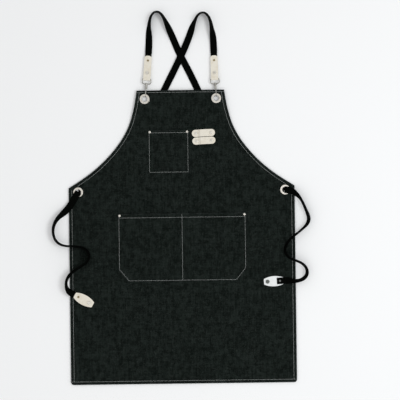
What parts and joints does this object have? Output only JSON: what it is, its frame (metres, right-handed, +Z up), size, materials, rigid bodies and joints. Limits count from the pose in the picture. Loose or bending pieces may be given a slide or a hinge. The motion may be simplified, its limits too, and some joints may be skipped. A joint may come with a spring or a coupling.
{
  "type": "cross-back work apron",
  "caption": "Canvas bib apron laid flat, with crossed webbing straps on swivel snap clips, patch pockets, a leather pen holder and loose waist ties.",
  "frame": {"origin": "on the table surface, under the middle of the apron's box with its clips and without its loose straps", "axes": "+X across the apron, +Y from the hem to the neck, +Z up off the table through the front of the cloth"},
  "size_m": [0.7606, 1.1008, 0.0242],
  "materials": {
    "canvas": "washed black cotton canvas, plain to twill weave",
    "webbing": "black cotton webbing",
    "thread": "pale grey topstitching thread",
    "leather": "cream vegetable-tanned leather",
    "leather_back": "pale flesh side of the leather",
    "eyelet_metal": "nickel-plated brass",
    "clip_metal": "dark nickel plate",
    "rivet_metal": "satin nickel"
  },
  "bodies": {
    "root": {"body_panel": "canvas", "body_topstitch": "thread", "bottom_hem": "canvas", "chest_pocket": "canvas", "chest_pocket_stitch": "thread", "left_armhole_hem": "canvas", "left_bib_eyelet": "eyelet_metal", "left_bib_washer": "eyelet_metal", "left_eyelet_fold": "webbing", "left_shoulder_strap": "webbing", "left_side_hem": "canvas", "left_waist_eyelet": "eyelet_metal", "left_waist_tie": "webbing", "left_waist_washer": "eyelet_metal", "lower_pen_strip": "leather", "lower_pocket": "canvas", "lower_pocket_stitch": "thread", "pen_strip_rivets": "rivet_metal", "pocket_rivet_backs": "rivet_metal", "pocket_rivet_caps": "rivet_metal", "right_armhole_hem": "canvas", "right_bib_eyelet": "eyelet_metal", "right_bib_washer": "eyelet_metal", "right_eyelet_fold": "webbing", "right_shoulder_strap": "webbing", "right_side_hem": "canvas", "right_waist_eyelet": "eyelet_metal", "right_waist_tie": "webbing", "right_waist_washer": "eyelet_metal", "top_hem": "canvas", "upper_pen_strip": "leather"},
    "left_hook": {"left_snap_hook": "clip_metal", "left_bolt_spring": "clip_metal"},
    "left_bolt": {"left_snap_bolt": "clip_metal"},
    "left_eye": {"left_swivel_eye": "clip_metal"},
    "left_tab": {"left_clip_tab": "leather", "left_tab_large_rivet": "rivet_metal", "left_tab_small_rivet": "rivet_metal", "left_tab_webbing": "webbing"},
    "left_leaf": {"left_end_tab": "leather", "left_end_tab_rivet": "rivet_metal", "left_end_tab_snap": "rivet_metal", "left_end_tab_webbing": "webbing"},
    "right_hook": {"right_snap_hook": "clip_metal", "right_bolt_spring": "clip_metal"},
    "right_bolt": {"right_snap_bolt": "clip_metal"},
    "right_eye": {"right_swivel_eye": "clip_metal"},
    "right_tab": {"right_clip_tab": "leather", "right_tab_large_rivet": "rivet_metal", "right_tab_small_rivet": "rivet_metal", "right_tab_webbing": "webbing"},
    "right_leaf": {"right_end_tab": "leather_back", "right_end_tab_rivet": "rivet_metal", "right_end_tab_snap": "rivet_metal", "right_end_tab_webbing": "webbing"}
  },
  "joints": [
    {"name": "left_clip_swing", "type": "hinge", "parent": "root", "child": "left_hook", "pos_m": [-0.1055, 0.3555, 0.0054], "axis": [0, 0, 1], "range_deg": [-18, 18]},
    {"name": "left_bolt_slide", "type": "slide", "parent": "left_hook", "child": "left_bolt", "axis": [0.0906, 0.9959, 0], "range_m": [0, 0.0055], "stiffness_N_per_m": 120, "springref_m": -0.002, "deforming": ["left_bolt_spring"]},
    {"name": "left_swivel", "type": "hinge", "parent": "left_hook", "child": "left_eye", "pos_m": [-0.09968, 0.39753, 0.0054], "axis": [0.0906, 0.9959, 0], "continuous": true},
    {"name": "left_tab_fold", "type": "hinge", "parent": "left_eye", "child": "left_tab", "pos_m": [-0.09819, 0.41396, 0.0054], "axis": [0.9972, -0.075, 0], "range_deg": [-20, 90]},
    {"name": "right_clip_swing", "type": "hinge", "parent": "root", "child": "right_hook", "pos_m": [0.1055, 0.3555, 0.0054], "axis": [0, 0, 1], "range_deg": [-18, 18]},
    {"name": "right_bolt_slide", "type": "slide", "parent": "right_hook", "child": "right_bolt", "axis": [-0.0906, 0.9959, 0], "range_m": [0, 0.0055], "stiffness_N_per_m": 120, "springref_m": -0.002, "deforming": ["right_bolt_spring"]},
    {"name": "right_swivel", "type": "hinge", "parent": "right_hook", "child": "right_eye", "pos_m": [0.10318, 0.39593, 0.0054], "axis": [-0.0906, 0.9959, 0], "continuous": true},
    {"name": "right_tab_fold", "type": "hinge", "parent": "right_eye", "child": "right_tab", "pos_m": [0.10169, 0.41236, 0.0054], "axis": [0.9998, 0.0175, 0], "range_deg": [-20, 90]},
    {"name": "left_end_tab_flip", "type": "hinge", "parent": "root", "child": "left_leaf", "pos_m": [-0.3188, -0.2187, 0.0047], "axis": [-0.4909, -0.8712, 0], "range_deg": [0, 75]},
    {"name": "right_end_tab_flip", "type": "hinge", "parent": "root", "child": "right_leaf", "pos_m": [0.3, -0.1843, 0.0053], "axis": [-0.0523, 0.9986, 0], "range_deg": [0, 75]}
  ]
}
